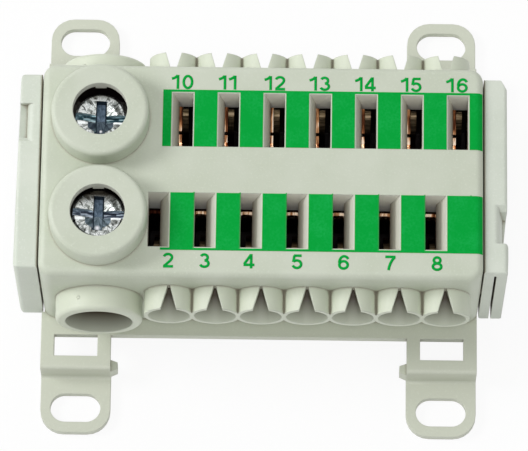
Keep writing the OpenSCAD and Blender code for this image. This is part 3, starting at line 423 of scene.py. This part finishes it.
def makeZinc(name, row):
    material, tree = blankMaterial(name)
    spot = put(tree, "ShaderNodeTexCoord")
    low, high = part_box("terminal_screw_" + row)
    head = (0.5 * (low.x + high.x), 0.5 * (low.y + high.y), high.z)  # middle of the head's face
    place = put(tree, "ShaderNodeVectorMath", {0: spot.outputs["Object"], 1: head}, operation="SUBTRACT")
    x, y, z = put(tree, "ShaderNodeSeparateXYZ", {0: place}).outputs
    flat = put(tree, "ShaderNodeCombineXYZ", {"X": x, "Y": y})
    reach = put(tree, "ShaderNodeVectorMath", {0: flat}, operation="LENGTH").outputs["Value"]
    leftward = put(tree, "ShaderNodeMath", {0: x, 1: -1.0}, operation="MULTIPLY")
    turn = put(tree, "ShaderNodeMath", {0: y, 1: leftward}, operation="ARCTAN2")  # clockwise from the left
    around = put(tree, "ShaderNodeMath", {0: turn, 1: zincSet["rayTurn"]}, operation="MULTIPLY")
    outward = put(tree, "ShaderNodeMath", {0: reach, 1: zincSet["rayShare"]}, operation="MULTIPLY")
    rays = put(tree, "ShaderNodeCombineXYZ", {"X": around, "Y": outward, "Z": z})
    dents = put(tree, "ShaderNodeTexNoise", {"Vector": rays, "Scale": 1 / zincSet["glintSize"],
                                             **zincSet["glintNoise"]})
    drawn = put(tree, "ShaderNodeMapping", {"Vector": place, "Scale": zincSet["lineDrawn"]})
    lines = put(tree, "ShaderNodeTexNoise", {"Vector": drawn, "Scale": 1 / zincSet["lineSize"],
                                             **zincSet["lineNoise"]})
    facing = put(tree, "ShaderNodeSeparateXYZ", {0: spot.outputs["Normal"]}).outputs["Y"]
    across = put(tree, "ShaderNodeMath", {0: x}, operation="ABSOLUTE")
    shineGap = put(tree, "ShaderNodeVectorMath", {0: flat, 1: zincSet["shineAt"][row]},
                   operation="DISTANCE").outputs["Value"]
    face = put(tree, "ShaderNodeValToRGB", {0: dents}, zincSet["glints"]).outputs["Color"]
    slot = put(tree, "ShaderNodeValToRGB", {0: lines}, zincSet["slot"][row]).outputs["Color"]
    dome = put(tree, "ShaderNodeValToRGB", {0: dents}, zincSet["dome"][row]).outputs["Color"]
    wing = put(tree, "ShaderNodeValToRGB", {0: dents}, zincSet["wing"]).outputs["Color"]
    blur, edge, half, domeReach = (zincSet[size] for size in ("blur", "slotHalf", "wingHalf", "domeReach"))
    shine = zincSet["shineReach"][row]
    (lipReflectionStart, lipReflectionFull), lee = zincSet["lee"][row]
    slotHighlightFar, slotHighlightNear = zincSet["burrWidth"]
    sunk = (z, *zincSet["sunk"])
    deep = (z, zincSet["wingFloor"], zincSet["wingFloor"] - blur)
    between = (across, half + blur, half)
    frontWall = (facing, *zincSet["wallFacing"])
    # Over the dents' painted glints: a painted reflection of the dark lip toward the rear rim, a painted
    # highlight on the slot's front edge, painted sheen on front-facing walls, a painted reflection of the
    # chamber on the pit's front slope, the slot's and wing's blue film, painted shade along the wing's edges,
    # and a painted highlight in the wing
    colour = coat(tree, face,
                  (zone(tree, (y, lipReflectionStart, lipReflectionFull)), lee),
                  (zone(tree, (y, -edge, -edge - blur), (y, -edge - slotHighlightFar, -edge - slotHighlightNear),
                        (across, half, 2 * half)), zincSet["burr"]),
                  (zone(tree, sunk, frontWall), zincSet["slotWall"]),
                  (zone(tree, sunk, (reach, domeReach + blur, domeReach), (y, -edge + blur, -edge),
                        (across, zincSet["domeHalf"] + blur, zincSet["domeHalf"])), dome),
                  (zone(tree, (z, zincSet["slotFloor"], zincSet["slotFloor"] - blur)), slot),
                  (zone(tree, deep, between), wing),
                  (zone(tree, deep, between, (y, 0.0, -blur),
                        (y, -domeReach, -domeReach + zincSet["domeFade"])), dome),
                  (zone(tree, deep, between, (across, *(share * half for share in zincSet["wingEdgeAt"]))),
                   zincSet["wingEdge"]),
                  (zone(tree, sunk, between, frontWall, (y, 2 * edge, 2 * edge + blur)), zincSet["wingEdge"]),
                  (zone(tree, deep, (shineGap, shine, zincSet["shineCore"] * shine)), zincSet["shine"]))
    smooth, dull = zincSet["rough"]
    low, high = zincSet["glintShare"]
    polish = put(tree, "ShaderNodeMapRange", {0: dents, 1: low, 2: high, 3: dull, 4: smooth})
    matt = put(tree, "ShaderNodeMath", {0: zone(tree, sunk), 1: zincSet["recessRough"]}, operation="MULTIPLY")
    gloss = put(tree, "ShaderNodeMath", {0: polish, 1: matt}, operation="MAXIMUM")
    pits = put(tree, "ShaderNodeBump", {"Height": dents, **zincSet["relief"]})
    pitch = zincSet["threadPitch"]
    climb = put(tree, "ShaderNodeMath", {0: turn, 1: pitch / math.tau}, operation="MULTIPLY")
    height = put(tree, "ShaderNodeMath", {0: z, 1: climb}, operation="ADD")
    crest = put(tree, "ShaderNodeMath", {0: height, 1: 0.5 * pitch}, operation="PINGPONG")
    ridge = put(tree, "ShaderNodeMapRange", {0: crest, 1: 0.0, 2: 0.5 * pitch})
    shank = zone(tree, (z, zincSet["shankTop"], zincSet["shankTop"] - blur))
    thread = put(tree, "ShaderNodeMath", {0: ridge, 1: shank}, operation="MULTIPLY")
    relief = put(tree, "ShaderNodeBump", {"Height": thread, "Normal": pits,
                                          "Distance": zincSet["threadDepth"]})
    shader = put(tree, "ShaderNodeBsdfPrincipled", {"Base Color": colour, "Metallic": 1.0, "Roughness": gloss,
                                                    "Normal": relief})
    put(tree, "ShaderNodeOutputMaterial", {"Surface": shader})
    return material


greenInk = makePrint("screenPrintInk")
finishes = {
    "housing_plastic": makePlastic("mouldedPolyamideHousing", plasticSet["housing"]),
    "base_plastic": makePlastic("mouldedPolyamideBase", plasticSet["base"]),
    "print_green": greenInk,
    "copper": makeMetal("rolledCopper", metalSet["copper"]),
    "spring_steel": makeMetal("rolledSpringSteel", metalSet["spring"]),
    "frame_steel": makeMetal("foldedZincedSteel", metalSet["frame"]),
    "zinc_plated_steel": makeMetal("barrelZincedSteel", metalSet["foot"]),
}
platePlastic = makePlastic("mouldedPolyamidePlate", plasticSet["plate"])
ownFinishes = {  # pieces that look unlike the rest of their slot
    "end_plate_left": platePlastic,
    "end_plate_right": platePlastic,
    # the second front contact is painted dark as painted shade
    "contact_clip_2": makeMetal("tarnishedCopper", metalSet["tarnish"]),
    "terminal_screw_front": makeZinc("bluePassivatedZincFront", "front"),
    "terminal_screw_rear": makeZinc("bluePassivatedZincRear", "rear"),
}


def dressNodes():
    for subpart in frame["record"]["subparts"]:
        name = subpart["node"]
        solid = frame["nodes"][name]
        solid.data.materials.clear()
        solid.data.materials.append(ownFinishes.get(name) or finishes[subpart["material_slot"]])


dressNodes()
print("solids dressed:", len(frame["nodes"]))

# Terminal numbers, printed beside the slots with a pen of even width. A stroke is a line of points or an
# arc: centre, radii, first and last angle. Sizes are in millimetres from a digit's lower left corner.
numberSet = {
    "pen": 0.36 * mm,
    "stretch": 1.1,  # widens a digit about its middle
    "middle": 0.66,
    "film": 0.06 * mm,  # half of it lies in the face
    "layer": 0.004 * mm,  # each further stroke lies a little higher, as ink on ink does
    "arcStep": 12,  # degrees
    "arcLeast": 6,  # steps
    "rows": {
        "front": {"y": -13.93, "digits": [("2", -13.03), ("3", -8.14), ("4", -2.25), ("5", 4.22),
                                          ("6", 10.42), ("7", 16.66), ("8", 22.92)]},
        "rear": {"y": 11.56, "digits": [("1", -12.37), ("0", -10.87), ("1", -6.0), ("1", -4.63), ("1", 0.19),
                                        ("2", 1.62), ("1", 6.28), ("3", 7.71), ("1", 12.46), ("4", 13.8),
                                        ("1", 18.66), ("5", 20.06), ("1", 24.8), ("6", 26.29)]},
    },
    "strokes": {
        "0": [("arc", 0.66, 1.01, 0.515, 0.865, 0, 360)],
        "1": [("line", (0.8, 0), (0.8, 2.02)),
              ("line", (0.76, 1.95), (0.56, 1.72), (0.32, 1.56), (0.05, 1.47))],
        "2": [("arc", 0.64, 1.41, 0.49, 0.47, 165, -30), ("line", (1.07, 1.19), (0.92, 0.95), (0.2, 0.2)),
              ("line", (0.07, 0.145), (1.27, 0.145))],
        "3": [("arc", 0.6, 1.45, 0.42, 0.425, 155, -85), ("arc", 0.62, 0.6, 0.51, 0.455, 85, -160)],
        "4": [("line", (0.96, 0), (0.96, 2.02)), ("line", (0.92, 1.93), (0.13, 0.62)),
              ("line", (0.03, 0.5), (1.36, 0.5))],
        "5": [("line", (0.28, 1.875), (1.2, 1.875)), ("line", (0.33, 1.9), (0.2, 0.98)),
              ("arc", 0.63, 0.675, 0.515, 0.53, 140, -160)],
        "6": [("arc", 0.66, 0.66, 0.51, 0.515, 0, 360), ("arc", 0.74, 0.98, 0.59, 0.9, 182, 35)],
        "7": [("line", (0.06, 1.875), (1.3, 1.875)),
              ("line", (1.22, 1.85), (0.92, 1.45), (0.68, 0.95), (0.52, 0.4), (0.46, 0))],
        "8": [("arc", 0.66, 1.47, 0.4, 0.405, 0, 360), ("arc", 0.66, 0.585, 0.51, 0.44, 0, 360)],
    },
}


def openTree(name, inputs):  # geometry tree with named inputs, and their sockets
    tree = bpy.data.node_groups.new(name, "GeometryNodeTree")
    tree.interface.new_socket("Geometry", in_out="INPUT", socket_type="NodeSocketGeometry")
    for label, kind in inputs.items():
        tree.interface.new_socket(label, in_out="INPUT", socket_type=kind)
    tree.interface.new_socket("Geometry", in_out="OUTPUT", socket_type="NodeSocketGeometry")
    return tree, tree.nodes.new("NodeGroupInput").outputs


def closeTree(tree, shape, material):
    single = put(tree, "GeometryNodeRealizeInstances", {0: shape})
    dressed = put(tree, "GeometryNodeSetMaterial", {"Geometry": single, "Material": material})
    put(tree, "NodeGroupOutput", {0: dressed})


def grow(name, points, edges, tree, values):  # runs a tree on points and edges and keeps the plain mesh
    seed = bpy.data.meshes.new(name + "Seed")
    seed.from_pydata(points, edges, [])
    holder = bpy.data.objects.new(name, seed)
    bpy.context.scene.collection.objects.link(holder)
    modifier = holder.modifiers.new(name, "NODES")
    modifier.node_group = tree
    for item in tree.interface.items_tree:
        if item.in_out == "INPUT" and item.name in values:
            modifier[item.identifier] = values[item.name]
    shape = holder.evaluated_get(bpy.context.evaluated_depsgraph_get())
    mesh = bpy.data.meshes.new_from_object(shape)
    holder.modifiers.clear()
    holder.data = mesh
    return holder


def strokeTree():  # a flat pen drawn along every chain of edges
    tree, given = openTree("penStrokes", {"Pen Width": "NodeSocketFloat", "Film": "NodeSocketFloat",
                                          "Ink": "NodeSocketMaterial"})
    chains = put(tree, "GeometryNodeMeshToCurve", {"Mesh": given["Geometry"]})
    level = put(tree, "GeometryNodeSetCurveNormal", {"Curve": chains}, mode="Z_UP")
    pen = put(tree, "GeometryNodeCurvePrimitiveQuadrilateral", {"Width": given["Pen Width"],
                                                                 "Height": given["Film"]})
    ribbon = put(tree, "GeometryNodeCurveToMesh", {"Curve": level, "Profile Curve": pen, "Fill Caps": True})
    closeTree(tree, ribbon, given["Ink"])
    return tree


def strokePoints(stroke):
    if stroke[0] == "line":
        return [list(point) for point in stroke[1:]], False
    x, y, rx, ry, first, last = stroke[1:]
    closed = abs(last - first) == 360
    steps = max(numberSet["arcLeast"], round(abs(last - first) / numberSet["arcStep"]))
    turns = [math.radians(first + (last - first) * i / steps) for i in range(steps + (not closed))]
    return [[x + rx * math.cos(a), y + ry * math.sin(a)] for a in turns], closed


def makeNumbers(row, tree):
    rowSet = numberSet["rows"][row]
    face = plasticSet["topFace"]
    middle = numberSet["middle"]
    points, edges = [], []
    for digit, left in rowSet["digits"]:
        for layer, stroke in enumerate(numberSet["strokes"][digit]):
            chain, closed = strokePoints(stroke)
            first = len(points)
            level = face + layer * numberSet["layer"]
            for x, y in chain:
                wide = middle + (x - middle) * numberSet["stretch"]
                points.append(((left + wide) * mm, (rowSet["y"] + y) * mm, level))
            edges += [(first + i, first + i + 1) for i in range(len(chain) - 1)]
            if closed:
                edges.append((len(points) - 1, first))
    numbers = grow("terminal_numbers_" + row, points, edges, tree,
                   {"Pen Width": numberSet["pen"], "Film": numberSet["film"], "Ink": greenInk})
    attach(numbers, "block")


penTree = strokeTree()
for row in ("front", "rear"):
    makeNumbers(row, penTree)
print("numbers printed")

# Marks that the mould leaves: rings of the ejector pins under the base and of the gates on the wire tubes
markSet = {
    "ejector_marks": {"spots": [(x * mm, y * mm, 3.5 * mm) for x in (-22, -8, 8, 22) for y in (-11, 11)],
                      "radius": 1.6 * mm, "bead": 0.12 * mm, "tilt": 0.0, "slot": "base_plastic"},
    "gate_marks": {"spots": [(tubeX - 2.65 * mm, side * (tubeY + 1.65 * mm), tubeZ + 5.26 * mm)
                             for side in (-1, 1)],
                   "radius": 0.24 * mm, "bead": 0.07 * mm, "tilt": -27.0, "slot": "housing_plastic"},
}
ringSides, beadSides = 40, 8


def ringTree():  # a bead bent to a ring on every point
    tree, given = openTree("mouldMarks", {"Ring Radius": "NodeSocketFloat", "Bead": "NodeSocketFloat",
                                          "Tilt": "NodeSocketFloat", "Plastic": "NodeSocketMaterial"})
    path = put(tree, "GeometryNodeCurvePrimitiveCircle", {"Resolution": ringSides,
                                                          "Radius": given["Ring Radius"]})
    bead = put(tree, "GeometryNodeCurvePrimitiveCircle", {"Resolution": beadSides, "Radius": given["Bead"]})
    ring = put(tree, "GeometryNodeCurveToMesh", {"Curve": path, "Profile Curve": bead})
    turn = put(tree, "ShaderNodeCombineXYZ", {"Y": given["Tilt"]})
    marks = put(tree, "GeometryNodeInstanceOnPoints", {"Points": given["Geometry"], "Instance": ring,
                                                       "Rotation": turn})
    closeTree(tree, marks, given["Plastic"])
    return tree


def makeMarks(name, mark, tree):
    marks = grow(name, mark["spots"], [], tree,
                 {"Ring Radius": mark["radius"], "Bead": mark["bead"], "Tilt": math.radians(mark["tilt"]),
                  "Plastic": finishes[mark["slot"]]})
    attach(marks, "block")


beadTree = ringTree()
for name, mark in markSet.items():
    makeMarks(name, mark, beadTree)
print("mould marks added")

# White table and soft studio light from the upper left; places and sizes are in metres
studioSet = {
    "world": 0.46,
    "table": "f4f4f4",
    "tableGlow": 0.9,  # share of plain white where the table is seen
    "floorHalf": 1.5,
    "lamps": {
        "key": {"place": (-0.65, 0.1, 0.5), "size": 0.3, "power": 3.4},
        "overhead": {"place": (0.02, -0.3, 0.85), "size": 0.18, "power": 1.75},
        "front": {"place": (-0.2, -0.6, 0.6), "size": 0.6, "power": 0.15},
        "rear": {"place": (0.05, 0.75, 0.5), "size": 0.4, "power": 0.9},
    },
}


def seenRays(tree):  # 1 for what the camera, a mirror or clear glass sees
    rays = put(tree, "ShaderNodeLightPath").outputs
    direct = put(tree, "ShaderNodeMath", {0: rays["Is Camera Ray"], 1: rays["Is Glossy Ray"]},
                 operation="MAXIMUM")
    return put(tree, "ShaderNodeMath", {0: direct, 1: rays["Is Transmission Ray"]}, operation="MAXIMUM")


def makeStudio():
    world = bpy.data.worlds.new("studioWorld")
    bpy.context.scene.world = world
    world.use_nodes = True
    tree = world.node_tree
    tree.nodes.clear()
    plain = put(tree, "ShaderNodeBackground", {"Color": "ffffff", "Strength": studioSet["world"]})
    white = put(tree, "ShaderNodeBackground", {"Color": "ffffff", "Strength": 1.0})
    pick = put(tree, "ShaderNodeMixShader", {0: seenRays(tree), 1: plain, 2: white})
    put(tree, "ShaderNodeOutputWorld", {"Surface": pick})
    for name, lamp in studioSet["lamps"].items():
        data = bpy.data.lights.new(name + "Light", "AREA")
        data.shape = "DISK"
        data.size = lamp["size"]
        data.energy = lamp["power"]
        holder = bpy.data.objects.new(name + "Light", data)
        bpy.context.scene.collection.objects.link(holder)
        holder.location = lamp["place"]
        holder.rotation_mode = "QUATERNION"
        holder.rotation_quaternion = Vector(lamp["place"]).to_track_quat("Z", "Y")
    half = studioSet["floorHalf"]
    mesh = bpy.data.meshes.new("floor")
    mesh.from_pydata([(-half, -half, 0), (half, -half, 0), (half, half, 0), (-half, half, 0)], [],
                     [(0, 1, 2, 3)])
    floor = bpy.data.objects.new("floor", mesh)
    bpy.context.scene.collection.objects.link(floor)
    material, tree = blankMaterial("whiteTable")
    table = put(tree, "ShaderNodeBsdfDiffuse", {"Color": studioSet["table"]})
    glow = put(tree, "ShaderNodeEmission", {"Color": "ffffff", "Strength": 1.0})
    share = put(tree, "ShaderNodeMath", {0: seenRays(tree), 1: studioSet["tableGlow"]}, operation="MULTIPLY")
    pick = put(tree, "ShaderNodeMixShader", {0: share, 1: table, 2: glow})
    put(tree, "ShaderNodeOutputMaterial", {"Surface": pick})
    floor.data.materials.append(material)


makeStudio()
bpy.context.scene.view_settings.view_transform = "Standard"
print("studio ready")
